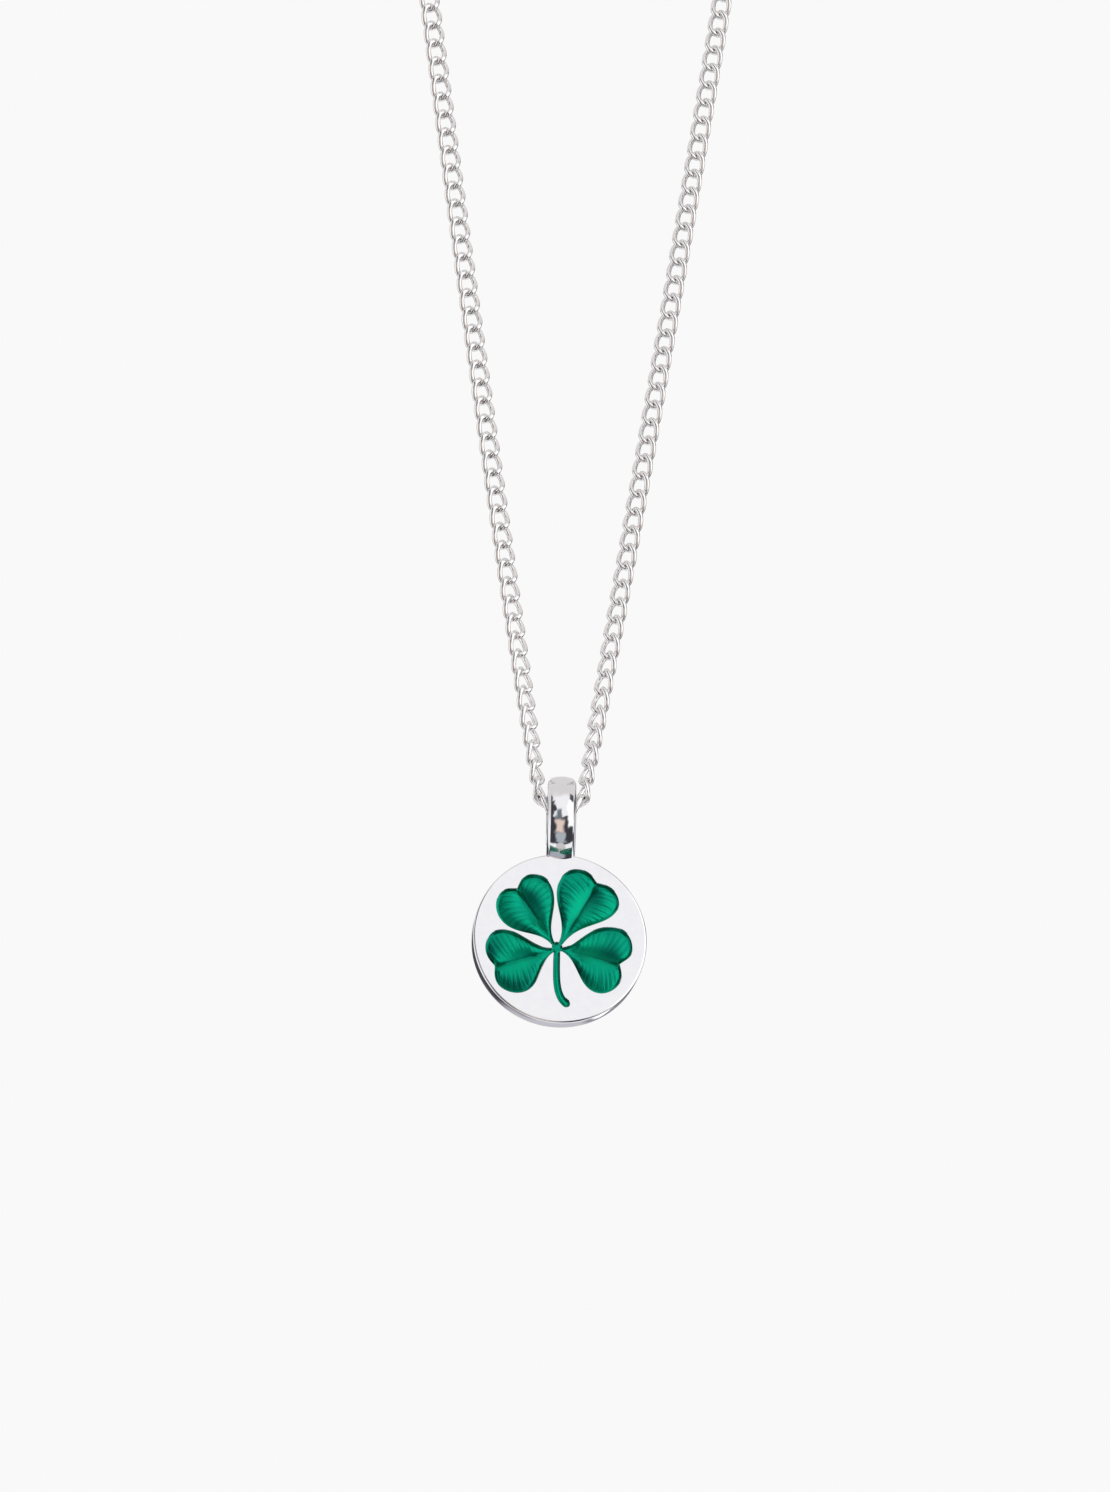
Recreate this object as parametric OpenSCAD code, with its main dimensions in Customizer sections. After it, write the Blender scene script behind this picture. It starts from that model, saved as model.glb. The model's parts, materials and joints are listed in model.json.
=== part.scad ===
// Four leaf clover pendant: an enamelled silver disc with a soldered bail, hanging on a fine curb chain.
// Millimetres, +Z up, front of the disc towards -Y. The origin is under the clasp, at the top of the loop.

/* [Disc] */
// Diameter of the disc
disc_d = 14; // [13.8:0.1:18]
// Thickness of the disc
disc_t = 1.6; // [1.2:0.05:2.4]
// Rounding of the disc's two edges
disc_edge_r = 0.18; // [0.05:0.01:0.3]
// Turn of the disc about the upright axis, as it is soldered to the bail
disc_turn = 5; // [0:1:8]

/* [Bail] */
// Outer diameter of the bail ring
bail_d = 7.1; // [6.8:0.1:9]
// Diameter of the hole that the chain runs through
bail_bore_d = 3.5; // [3.4:0.05:4.4]
// Width of the bail ring along the chain
bail_w = 2.3; // [2:0.05:2.5]
// Rounding of the bail's outer shoulders
bail_shoulder_r = 0.7; // [0.2:0.05:0.8]
// Rounding of the mouths of the bail's hole
bail_mouth_r = 0.46; // [0.3:0.02:0.6]
// Radius of the bail's domed crown, seen along its rim
bail_crown_r = 2.6; // [2:0.1:5]
// Depth that the bail is sunk into the disc's edge and soldered
bail_sink = 0.5; // [0.3:0.05:0.8]

/* [Clover] */
// Depth of the clover's pocket in the face
pocket_depth = 0.55; // [0.3:0.05:0.8]
// Running gap between the enamel and the pocket
enamel_gap = 0.03; // [0.02:0.01:0.06]
// Depth of the enamel's surface below the face
enamel_drop = 0.1; // [0.04:0.01:0.2]
// Radius of the small hub where the leaves meet
hub_r = 0.42; // [0.35:0.01:0.55]
// Width of the stem where it leaves the hub
stem_top_w = 0.5; // [0.35:0.05:0.7]
// Width of the stem near its foot
stem_foot_w = 0.62; // [0.5:0.02:0.9]

/* [Chain] */
// Length of the whole necklace, clasp included
loop_len = 450; // [400:10:550]
// Thickness of the chain's wire
wire_d = 0.31; // [0.28:0.01:0.36]
// Outer length of a link
link_l = 2.31; // [2.2:0.01:2.5]
// Outer width of a link
link_w = 1.63; // [1.5:0.01:1.8]
// Free space between two links where they hook
link_gap = 0.15; // [0.12:0.01:0.2]
// Clearance between the chain and the wall of the bail's hole
swing_gap = 0.24; // [0.2:0.01:0.4]

/* [Clasp] */
// Outer diameter of the clasp ring
clasp_d = 5.5; // [5:0.1:7]
// Thickness of the clasp ring
clasp_wire_d = 1; // [0.8:0.05:1.2]
// Outer diameter of the clasp's eyelet
eyelet_d = 2.2; // [2.1:0.05:2.8]
// Thickness of the eyelet's wire
eyelet_wire_d = 0.5; // [0.4:0.05:0.6]
// Outer diameter of a jump ring
jump_d = 2.8; // [2.6:0.1:3.6]
// Thickness of a jump ring
jump_wire_d = 0.4; // [0.35:0.05:0.5]

/* [Hidden] */
$fn = 96;

silver = [0.86, 0.87, 0.89];
enamel_green = [0.0, 0.5, 0.33];

// Route of the chain, as headings above the horizontal, from the bail out to the clasp
route_bend = 46.5;        // first link beside the bail
bail_slack = 0.1;         // how much closer the links sit where the chain bends through the bail
route_low = 80.9;         // strand just above the bail
route_high = 83.7;        // strand at the foot of the arch
// Turn of the links about the chain, which fades away from the bail and from the clasp
turn_at_bail = -90;
turn_at_clasp = 45;
turn_reach = 9;
turn_fade = 1.2;
// Twist of a link's two ends, which lays the links of a curb chain flat
link_twist = -45;
link_fullness = 3;        // 1 for an oval link, more for one with straighter sides and rounder ends
front_links = 48;         // modelled links on each side of the one in the bail
link_sides = 10;
wire_sides = 5;
tube_sides = 8;
tube_step = 4;
eyelet_sink = 0.35;       // overlap of the eyelet and the clasp ring, soldered

// Leaves: where each springs from the hub, its heading, its length to the notch, and its left and right
// half, with the half's length to the lobe, its width, and the shares of its length at which it is widest
// and of that stretch at which it swells
LEAVES = [
    [[-0.49, -0.52], 124.0, 5.44, [5.87, 2.50, 0.70, 0.49], [5.94, 2.50, 0.77, 0.49]],
    [[ 0.01, -0.50],  61.0, 6.00, [6.36, 2.70, 0.78, 0.49], [6.22, 2.48, 0.80, 0.57]],
    [[-0.39, -0.92], 198.4, 5.06, [5.33, 2.66, 0.66, 0.49], [5.40, 2.77, 0.76, 0.49]],
    [[ 0.09, -0.87], -12.0, 4.85, [5.59, 2.84, 0.75, 0.34], [5.24, 2.79, 0.69, 0.49]]
];
LEAF_DISC_D = 14;         // disc diameter that the leaf and stem lengths are drawn for
hub = [-0.21, -0.73];
// Middle line of the stem as a curve with four handles, from the hub to the foot
STEM = [[-0.22, -0.91], [-0.24, -3.2], [-0.32, -4.7], [0.58, -5.35]];
// Half of a leaf: three curves with four handles each, as shares of its width across, and along it as
// shares of the swell, of the stretch from the widest place to the lobe, and from the notch to the lobe
LEAF_HALF = [
    [[0, 0.05], [0.9, 0.12], [1.1, 1.0], [0, 1.0]],
    [[0, 1.0], [0.5, 1.0], [1.0, 0.72], [1.0, 0.42]],
    [[1.0, 0.42], [1.0, 0.24], [0.35, 0.12], [0, 0]]
];
curve_steps = 8;
stem_steps = 12;

// Distances worked out from the sizes above
pitch = link_l - 2 * wire_d - link_gap;
face_scale = disc_d / LEAF_DISC_D;
link_half_t = link_w / 4;
bail_bore_r = bail_bore_d / 2;
// The chain's line through the bail, above the middle of the hole
hang_rise = bail_bore_r - link_w / 2 - swing_gap;

// Clasp: centre-line radii, and places along the chain from the middle of the clasp ring
clasp_r = (clasp_d - clasp_wire_d) / 2;
eyelet_r = (eyelet_d - eyelet_wire_d) / 2;
jump_r = (jump_d - jump_wire_d) / 2;
jump_gap = 0.16;
hook_ring = jump_gap + jump_wire_d / 2;
hook_link = jump_gap + jump_wire_d / 2 + wire_d / 2;
right_jump_x = clasp_r - clasp_wire_d / 2 - hook_ring + jump_r;
right_link_x = right_jump_x + jump_r - hook_link + (link_l - wire_d) / 2;
eyelet_x = clasp_d / 2 + eyelet_d / 2 - eyelet_sink;
left_jump_x = eyelet_x + eyelet_r - eyelet_wire_d / 2 - hook_ring + jump_r;
left_link_x = left_jump_x + jump_r - hook_link + (link_l - wire_d) / 2;
clasp_half = (left_link_x + right_link_x) / 2;
clasp_shift = (left_link_x - right_link_x) / 2;
side_links = round((loop_len / 2 - clasp_half) / pitch);

// Joints between links, as distances along the chain from the middle of the bail
bail_step = pitch - bail_slack;
function joint_s(k) = k == 0 ? bail_step / 2 : 1.5 * bail_step + (k - 1) * pitch;
last_link_s = joint_s(side_links) - pitch / 2;
half_len = last_link_s + clasp_half;

// Route: half a link through the bail, one link beside it, the strand, and an arch over the top
bend_x = bail_step / 2 + bail_step * cos(route_bend);
bend_z = bail_step * sin(route_bend);
strand_turn = (route_high - route_low) * PI / 180;
strand_lean = (sin(route_high) - sin(route_low)) / strand_turn;
arch_turn = (180 - route_high) * PI / 180;
arch_share = arch_turn / sin(route_high);
strand_len = (half_len - 1.5 * bail_step - arch_share * bend_x) / (1 + arch_share * strand_lean);
strand_r = strand_len / strand_turn;
arch_x = bend_x + strand_len * strand_lean;
arch_z = bend_z + strand_r * (cos(route_low) - cos(route_high));
arch_r = arch_x / sin(route_high);
clasp_z = clasp_d / 2;
apex_z = clasp_z + pow((left_jump_x + right_jump_x) / 2, 2) / arch_r / 2;
hinge_z = apex_z - (arch_z + arch_r * (1 + cos(route_high)));
bail_z = hinge_z - hang_rise;
disc_z = bail_z - bail_d / 2 - disc_d / 2 + bail_sink;

// Place on the right half of the route, a distance s along it from the middle of the bail
function arc_place(from, heading, r, s) =
    let (h = heading + s / r * 180 / PI)
    [from[0] + r * (sin(h) - sin(heading)), from[1] - r * (cos(h) - cos(heading))];
function route(s) =
    let (past_flat = s - bail_step / 2, past_bend = s - 1.5 * bail_step)
    past_flat < 0 ? [s, 0] :
    past_bend < 0 ? [bail_step / 2, 0] + past_flat * [cos(route_bend), sin(route_bend)] :
    past_bend < strand_len ? arc_place([bend_x, bend_z], route_low, strand_r, past_bend) :
    arc_place([arch_x, arch_z], route_high, arch_r, past_bend - strand_len);

function unit(v) = v / norm(v);
function turn(s) =
    turn_at_bail / (1 + pow(s / turn_reach, turn_fade))
    + turn_at_clasp / (1 + pow(max(last_link_s - s, 0) / turn_reach, turn_fade));
// Frame of the chain between two places: its own direction, across the link, and out of the link's face
function frame_at(from, to) =
    let (d = unit(route(to) - route(from)), t = turn((from + to) / 2))
    let (along = [d[0], 0, d[1]], across = [-d[1], 0, d[0]], out = [0, -1, 0])
    [along, cos(t) * across + sin(t) * out, cos(t) * out - sin(t) * across];
function raised(p) = [p[0], 0, p[1] + hinge_z];

// A curve with four handles
function curve(h, t) =
    pow(1 - t, 3) * h[0] + 3 * t * pow(1 - t, 2) * h[1] + 3 * t * t * (1 - t) * h[2] + pow(t, 3) * h[3];

// Middle line of a link's wire, a twisted oval, in the link's own frame
function wire_line(a, plain) =
    let (half_l = (link_l - wire_d) / 2, half_w = (link_w - wire_d) / 2)
    let (u = (half_l - half_w) * max(-1, min(1, link_fullness * cos(a))) + half_w * cos(a))
    let (v = half_w * sin(a), tw = plain ? link_twist : link_twist * cos(a))
    [u, v * cos(tw), v * sin(tw)];
function wire_ring(a, plain) =
    let (c = wire_line(a, plain), ahead = wire_line(a + 1, plain) - wire_line(a - 1, plain))
    let (side = unit(cross(ahead, c - [0, -c[2], c[1]])), up = unit(cross(side, ahead)))
    [for (k = [0:wire_sides - 1])
        c + wire_d / 2 * (cos(360 / wire_sides * k) * up + sin(360 / wire_sides * k) * side)];
function link_points(i) =
    let (from = i == 0 ? -joint_s(0) : joint_s(abs(i) - 1), to = joint_s(abs(i)))
    let (middle = raised((route(from) + route(to)) / 2), f = frame_at(from, to), flip = i < 0 ? -1 : 1)
    [for (j = [0:link_sides - 1]) for (q = wire_ring(360 / link_sides * j, i == 0))
        let (p = middle + q[0] * f[0] + q[1] * f[1] + q[2] * f[2])
        [flip * p[0], p[1], p[2]]];
function link_faces(i, first) =
    [for (j = [0:link_sides - 1]) for (k = [0:wire_sides - 1])
        let (n = (j + 1) % link_sides, l = (k + 1) % wire_sides)
        let (a = first + j * wire_sides + k, b = first + j * wire_sides + l)
        let (c = first + n * wire_sides + l, d = first + n * wire_sides + k)
        each i < 0 ? [[a, b, d], [b, c, d]] : [[a, d, b], [b, d, c]]];

// One half of the plain stretch, as a flat tube that fills the room of its links
function tube_ring(s) =
    let (f = frame_at(s - pitch / 2, s + pitch / 2), p = raised(route(s)))
    [for (k = [0:tube_sides - 1]) let (a = 360 / tube_sides * k)
        p + link_w / 2 * cos(a) * f[1] + link_half_t * sin(a) * f[2]];

module ring(d, wire) {
    rotate_extrude() translate([(d - wire) / 2, 0]) circle(d = wire);
}

// Section of the bail: flat bore with rounded mouths, domed crown with round shoulders
module bail_section() {
    inner = bail_bore_r;
    outer = bail_d / 2;
    intersection() {
        translate([outer - bail_crown_r, 0]) circle(bail_crown_r);
        union() {
            translate([inner, -bail_w / 2 + bail_mouth_r]) square([bail_mouth_r, bail_w - 2 * bail_mouth_r]);
            translate([inner + bail_mouth_r, -bail_w / 2])
                square([outer - inner - bail_mouth_r - bail_shoulder_r, bail_w]);
            translate([outer - bail_shoulder_r, -bail_w / 2 + bail_shoulder_r])
                square([bail_shoulder_r, bail_w - 2 * bail_shoulder_r]);
            for (m = [-1, 1]) {
                translate([inner + bail_mouth_r, m * (bail_w / 2 - bail_mouth_r)]) circle(bail_mouth_r);
                translate([outer - bail_shoulder_r, m * (bail_w / 2 - bail_shoulder_r)]) circle(bail_shoulder_r);
            }
        }
    }
}

module disc_section() {
    square([disc_d / 2 - disc_edge_r, disc_t]);
    translate([0, disc_edge_r]) square([disc_d / 2, disc_t - 2 * disc_edge_r]);
    for (z = [disc_edge_r, disc_t - disc_edge_r])
        translate([disc_d / 2 - disc_edge_r, z]) circle(disc_edge_r);
}

// One side of a leaf from the hub round the lobe to the notch, with its lengths as they are
function leaf_side(half, notch) =
    let (widest = half[2], swell = half[3] * widest, n = notch / half[0])
    let (along = [
        [for (k = [0:3]) k == 3 ? widest : LEAF_HALF[0][k][0] * swell],
        [for (k = [0:3]) widest + LEAF_HALF[1][k][0] * (1 - widest)],
        [for (k = [0:3]) n + LEAF_HALF[2][k][0] * (1 - n)]
    ])
    [for (c = [0:2]) for (step = [0:curve_steps - 1])
        let (p = curve([for (k = [0:3]) [along[c][k], LEAF_HALF[c][k][1]]], step / curve_steps))
        [p[0] * half[0], p[1] * half[1]]];

module leaf(l) {
    left = leaf_side(l[3], l[2]);
    right = leaf_side(l[4], l[2]);
    other = [for (k = [len(right) - 1:-1:0]) [right[k][0], -right[k][1]]];
    translate(l[0]) rotate(l[1]) polygon(concat(left, [[l[2], 0]], other));
}

module stem() {
    rim = [for (m = [1, -1]) [for (k = [0:stem_steps])
        let (t = k / stem_steps, p = curve(STEM, t), d = curve(STEM, t + 0.01) - curve(STEM, t - 0.01))
        let (n = unit([d[1], -d[0]]), w = stem_top_w + (stem_foot_w - stem_top_w) * t)
        p + m * w / face_scale / 2 * n]];
    polygon(concat(rim[0], [for (k = [stem_steps:-1:0]) rim[1][k]]));
    translate(STEM[3]) circle(d = stem_foot_w / face_scale);
}

// Outline of the clover, drawn in the plane of the face
module clover() {
    scale(face_scale) {
        for (l = LEAVES) leaf(l);
        stem();
    }
    translate(hub * face_scale) circle(hub_r);
}

// Stands a shape that is drawn flat up in the face, at a depth below it
module in_face(depth) {
    translate([0, 0, disc_z]) rotate([0, 0, disc_turn]) translate([0, -disc_t / 2 + depth, 0])
        rotate([90, 0, 0]) children();
}

module pendant_body() {
    color(silver) difference() {
        union() {
            in_face(disc_t) rotate_extrude() disc_section();
            translate([0, 0, bail_z]) rotate([0, 90, 0]) rotate_extrude() bail_section();
        }
        in_face(pocket_depth) linear_extrude(pocket_depth + 1) clover();
    }
}

module clover_enamel() {
    color(enamel_green) in_face(pocket_depth - enamel_gap)
        linear_extrude(pocket_depth - enamel_gap - enamel_drop) offset(delta = -enamel_gap) clover();
}

// The stretch that the photograph shows, link by link
module chain_front() {
    points = [for (i = [-front_links:front_links]) each link_points(i)];
    faces = [for (i = [-front_links:front_links])
        each link_faces(i, (i + front_links) * link_sides * wire_sides)];
    color(silver) polyhedron(points, faces);
}

module chain_back() {
    from = joint_s(front_links) - pitch / 2 + link_l / 2 + link_gap;
    to = last_link_s + link_l / 2 - wire_d - jump_wire_d - 2 * jump_gap;
    rings = round((to - from) / tube_step);
    last = rings * tube_sides;
    points = [for (n = [0:rings]) each tube_ring(from + (to - from) * n / rings)];
    faces = [
        for (n = [0:rings - 1]) for (k = [0:tube_sides - 1])
            let (a = n * tube_sides + k, b = n * tube_sides + (k + 1) % tube_sides)
            each [[a, b + tube_sides, b], [a, a + tube_sides, b + tube_sides]],
        for (k = [1:tube_sides - 2]) each [[0, k, k + 1], [last, last + k + 1, last + k]]
    ];
    color(silver) {
        polyhedron(points, faces);
        mirror([1, 0, 0]) polyhedron(points, faces);
    }
}

module jump_rings() {
    color(silver) for (x = [clasp_shift + right_jump_x, clasp_shift - left_jump_x])
        translate([x, 0, clasp_z]) ring(jump_d, jump_wire_d);
}

module clasp() {
    color(silver) translate([clasp_shift, 0, clasp_z]) rotate([90, 0, 0]) {
        ring(clasp_d, clasp_wire_d);
        translate([-eyelet_x, 0, 0]) ring(eyelet_d, eyelet_wire_d);
    }
}

pendant_body();
clover_enamel();
chain_front();
chain_back();
jump_rings();
clasp();
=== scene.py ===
# Looks of a four leaf clover pendant: a polished silver disc with a clover of green enamel in its face,
# hanging by a soldered bail on a fine curb chain that closes with a plain ring clasp.
# Shapes are worked out in millimetres in the row frame, and turned into metres when a mesh is made.

import json
import math

import bmesh
import bpy
import numpy as np
from mathutils import Matrix, Vector
from mathutils.geometry import delaunay_2d_cdt


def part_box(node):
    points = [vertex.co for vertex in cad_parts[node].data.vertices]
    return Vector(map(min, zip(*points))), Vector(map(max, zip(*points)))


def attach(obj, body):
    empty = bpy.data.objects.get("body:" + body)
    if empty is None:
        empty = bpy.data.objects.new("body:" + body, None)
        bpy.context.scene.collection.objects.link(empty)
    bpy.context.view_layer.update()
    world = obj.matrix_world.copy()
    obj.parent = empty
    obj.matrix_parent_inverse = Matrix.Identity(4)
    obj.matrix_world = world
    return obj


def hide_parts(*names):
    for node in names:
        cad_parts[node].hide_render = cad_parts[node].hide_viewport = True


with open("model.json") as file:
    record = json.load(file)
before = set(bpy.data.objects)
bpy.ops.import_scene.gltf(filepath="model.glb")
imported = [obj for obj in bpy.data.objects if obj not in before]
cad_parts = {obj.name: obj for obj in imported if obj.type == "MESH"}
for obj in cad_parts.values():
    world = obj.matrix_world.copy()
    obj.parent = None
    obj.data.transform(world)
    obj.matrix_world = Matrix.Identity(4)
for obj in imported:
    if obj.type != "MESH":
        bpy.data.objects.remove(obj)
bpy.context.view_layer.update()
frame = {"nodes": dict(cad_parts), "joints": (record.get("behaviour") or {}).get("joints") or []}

MM = 0.001

# Disc and bail, as the solids have them
DISC_D = 14.0
DISC_T = 1.6
DISC_EDGE_R = 0.18
DISC_TURN = 5.0
BAIL_D = 7.1
BAIL_BORE_D = 3.5
BAIL_W = 2.3
BAIL_SHOULDER_R = 0.7
BAIL_MOUTH_R = 0.46
BAIL_CROWN_R = 2.6
POCKET_DEPTH = 0.55
POCKET_CHAMFER = 0.035
BODY_LOW, BODY_HIGH = (np.array(corner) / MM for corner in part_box("pendant_body"))
DISC_Z = BODY_LOW[2] + DISC_D / 2
BAIL_Z = BODY_HIGH[2] - BAIL_D / 2

# Leaves: where each springs from the hub, its heading, its length to the notch, and its left and right
# half, with the half's length to the lobe, its width, and the shares at which it is widest and swells
LEAVES = [
    ((-0.49, -0.52), 124.0, 5.44, (5.87, 2.50, 0.70, 0.49), (5.94, 2.50, 0.77, 0.49)),
    ((0.01, -0.50), 61.0, 6.00, (6.36, 2.70, 0.78, 0.49), (6.22, 2.48, 0.80, 0.57)),
    ((-0.39, -0.92), 198.4, 5.06, (5.33, 2.66, 0.66, 0.49), (5.40, 2.77, 0.76, 0.49)),
    ((0.09, -0.87), -12.0, 4.85, (5.59, 2.84, 0.75, 0.34), (5.24, 2.79, 0.69, 0.49)),
]
HUB = (-0.21, -0.73)
HUB_R = 0.42
STEM = [(-0.22, -0.91), (-0.24, -3.2), (-0.32, -4.7), (0.58, -5.35)]
STEM_TOP_W = 0.5
STEM_FOOT_W = 0.62
# Half of a leaf: three curves with four handles each, along it as shares of a stretch, and across it
LEAF_HALF = [
    [(0, 0.05), (0.9, 0.12), (1.1, 1.0), (0, 1.0)],
    [(0, 1.0), (0.5, 1.0), (1.0, 0.72), (1.0, 0.42)],
    [(1.0, 0.42), (1.0, 0.24), (0.35, 0.12), (0, 0)],
]

# Chain, as the solids have it; the shown wire and links are a little larger, so that the links touch
LOOP_LEN = 450.0
WIRE_D = 0.31
SHOWN_WIRE_D = 0.41
LINK_L = 2.31
SHOWN_LINK_L = 2.36
SHOWN_LINK_W = 1.69
LINK_GAP = 0.15
LINK_TWIST = -45.0
LINK_FULLNESS = 2.2
BAIL_SLACK = 0.1
ROUTE_BEND = 46.5
ROUTE_LOW = 80.9
ROUTE_HIGH = 83.7
TURN_AT_BAIL = -90.0
TURN_AT_CLASP = 45.0
TURN_REACH = 9.0
TURN_FADE = 1.2
FRONT_LINKS = 48
JUMP_D = 2.8
JUMP_WIRE_D = 0.4
JUMP_GAP = 0.16
HINGE_Z = frame["joints"][0]["pos_m"][2] / MM


def sin_d(degrees):
    return math.sin(math.radians(degrees))


def cos_d(degrees):
    return math.cos(math.radians(degrees))


def unit_rows(v):
    return v / np.linalg.norm(v, axis=-1, keepdims=True)


def smooth(x):
    x = np.clip(x, 0, 1)
    return x * x * (3 - 2 * x)


def make_piece(name, points_mm, faces, material, body, replaced):
    """A mesh object in the row frame that rides on a body and stands for CAD nodes."""
    mesh = bpy.data.meshes.new(name)
    mesh.from_pydata([tuple(p) for p in np.asarray(points_mm) * MM], [], faces)
    mesh.validate()
    mesh.update()
    piece = bpy.data.objects.new(name, mesh)
    bpy.context.scene.collection.objects.link(piece)
    finish_piece(piece, material, body, replaced)
    return piece


def finish_piece(piece, material, body, replaced):
    piece.data.materials.clear()
    piece.data.materials.append(material)
    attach(piece, body)
    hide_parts(*replaced)


def applied(piece):
    """Turns a piece's modifiers into its mesh."""
    graph = bpy.context.evaluated_depsgraph_get()
    mesh = bpy.data.meshes.new_from_object(piece.evaluated_get(graph))
    piece.modifiers.clear()
    piece.data = mesh


# Materials


class Nodes:
    """Short names for the few things that the materials do with a node tree."""

    def __init__(self, tree):
        self.tree = tree
        tree.nodes.clear()

    def add(self, kind, inputs=None, **settings):
        node = self.tree.nodes.new(kind)
        for key, value in settings.items():
            setattr(node, key, value)
        for key, value in (inputs or {}).items():
            socket = node.inputs[key]
            if isinstance(value, bpy.types.NodeSocket):
                self.tree.links.new(value, socket)
            else:
                socket.default_value = value
        return node

    def place(self, scale=(1, 1, 1)):
        """Places on the object, in millimetres, stretched by scale."""
        coordinates = self.add("ShaderNodeTexCoord").outputs["Object"]
        stretched = [s / MM for s in scale]
        return self.add("ShaderNodeMapping", {"Vector": coordinates, "Scale": stretched}).outputs[0]

    def noise(self, vector, scale, detail=3.0, roughness=0.5):
        inputs = {"Vector": vector, "Scale": scale, "Detail": detail, "Roughness": roughness}
        return self.add("ShaderNodeTexNoise", inputs).outputs["Fac"]

    def span(self, value, low, high, to_low=0.0, to_high=1.0):
        inputs = {"Value": value, 1: low, 2: high, 3: to_low, 4: to_high}
        return self.add("ShaderNodeMapRange", inputs).outputs[0]

    def mix(self, factor, a, b):
        inputs = {0: factor, 6: a, 7: b}
        return self.add("ShaderNodeMix", inputs, data_type="RGBA").outputs[2]

    def math(self, operation, a, b=0.0):
        return self.add("ShaderNodeMath", {0: a, 1: b}, operation=operation).outputs[0]

    def dot(self, vector, direction):
        node = self.add("ShaderNodeVectorMath", {0: vector, 1: direction}, operation="DOT_PRODUCT")
        return node.outputs["Value"]

    def bump(self, height, strength, distance_mm):
        inputs = {"Height": height, "Strength": strength, "Distance": distance_mm * MM}
        return self.add("ShaderNodeBump", inputs).outputs[0]

    def output(self, shader):
        self.add("ShaderNodeOutputMaterial", {"Surface": shader})


def new_material(name):
    material = bpy.data.materials.new(name)
    material.use_nodes = True
    return material, Nodes(material.node_tree)


FACE_NORMAL = Vector((sin_d(DISC_TURN), -cos_d(DISC_TURN), 0.0))
WAVE_DEPTH = 0.35  # of a silver whose waviness is 1
BRUSH_DEPTH = 0.016
SATIN = 0.40  # roughness of the disc's back
NEAR_BACK = 0.02


def disc_back(n, place):
    """1 on the flat back of the disc, 0 elsewhere."""
    off_back = n.math("ABSOLUTE", n.math("ADD", n.dot(place, FACE_NORMAL), DISC_T / 2))
    below_bail = n.math("LESS_THAN", n.dot(place, (0, 0, 1)), BAIL_Z - BAIL_D / 2)
    return n.math("MULTIPLY", n.math("LESS_THAN", off_back, NEAR_BACK), below_bail)


def silver_material(name, base, shade, roughness, waviness):
    """Polished silver: soft waviness from the buffing wheel, hair-fine marks and faint haze. The disc's back
    is left satin, with level brush lines."""
    material, n = new_material(name)
    place = n.place()
    wave = n.noise(place, 0.22, 1.0)
    marks = n.noise(n.place((1.0, 1.0, 9.0)), 3.2, 4.0, 0.62)
    haze = n.noise(place, 1.7, 3.0)
    colour = n.mix(n.span(haze, 0.35, 0.7), (*base, 1), (*shade, 1))
    worn = n.span(marks, 0.4, 0.75, 0.0, 0.05)
    rough = n.math("ADD", worn, n.span(haze, 0.3, 0.7, roughness, roughness + 0.04))
    height = n.math("ADD", n.math("MULTIPLY", marks, 0.012), wave)
    back = disc_back(n, place)
    lines = n.noise(n.place((0.35, 0.35, 14.0)), 1.6, 5.0, 0.7)
    satin = n.span(lines, 0.3, 0.7, SATIN - 0.05, SATIN + 0.05)
    rough = n.math("MAXIMUM", rough, n.math("MULTIPLY", back, satin))
    brushed = n.span(lines, 0.2, 0.8, 0.0, BRUSH_DEPTH / (waviness * WAVE_DEPTH))
    height = n.math("ADD", height, n.math("MULTIPLY", back, brushed))
    shader = n.add("ShaderNodeBsdfPrincipled", {
        "Base Color": colour,
        "Metallic": 1.0,
        "Roughness": rough,
        "Normal": n.bump(height, waviness, WAVE_DEPTH),
    })
    n.output(shader.outputs[0])
    return material


THIN_GLASS = (0.0, 0.43, 0.235, 1)
CLOUDY_GLASS = (0.0, 0.32, 0.20, 1)
# painted shade: the glass is darkened towards this colour wherever the depth attribute says so
SHADED_GLASS = (0.0, 0.085, 0.065, 1)


def enamel_material():
    """Green glass fused over engraved metal: the metal's own reflections, tinted, and darkened by painted
    shade in the vein grooves, along the midrib and the pocket's wall and round a spot in each leaf half."""
    material, n = new_material("green_enamel")
    place = n.place()
    # the depth attribute holds painted shade, from 0 to 1
    depth = n.add("ShaderNodeAttribute", attribute_name="depth").outputs["Fac"]
    cloud = n.noise(place, 0.55, 2.0)
    grain = n.noise(place, 9.0, 4.0, 0.7)
    thin = n.mix(n.span(cloud, 0.3, 0.75), THIN_GLASS, CLOUDY_GLASS)
    colour = n.mix(depth, thin, SHADED_GLASS)
    shader = n.add("ShaderNodeBsdfPrincipled", {
        "Base Color": colour,
        "Metallic": 0.97,
        "Roughness": n.span(grain, 0.3, 0.75, 0.27, 0.36),
        "Coat Weight": 0.04,
        "Coat Roughness": 0.04,
        "Normal": n.bump(grain, 0.25, 0.02),
    })
    n.output(shader.outputs[0])
    return material


SILVER = silver_material("polished_silver", (0.93, 0.925, 0.945), (0.90, 0.895, 0.925), 0.05, 0.10)
CHAIN_SILVER = silver_material("chain_silver", (0.98, 0.965, 0.96), (0.93, 0.915, 0.915), 0.12, 0.05)
ENAMEL = enamel_material()


# Camera, floor and studio light


CAMERA_AZIMUTH = -1.2
CAMERA_ELEVATION = -16.3
CAMERA_ROLL = 1.0
CAMERA_DISTANCE = 1100.0
PHOTO_W, PHOTO_H = 1110, 1492
PHOTO_SCALE = 12.5  # pixels of the photo for each millimetre at the disc
DISC_AT_PX = (560.1, 938.4)
SENSOR = 36.0
FLOOR_Z = -1000.0
FLOOR_R = 190.0


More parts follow.
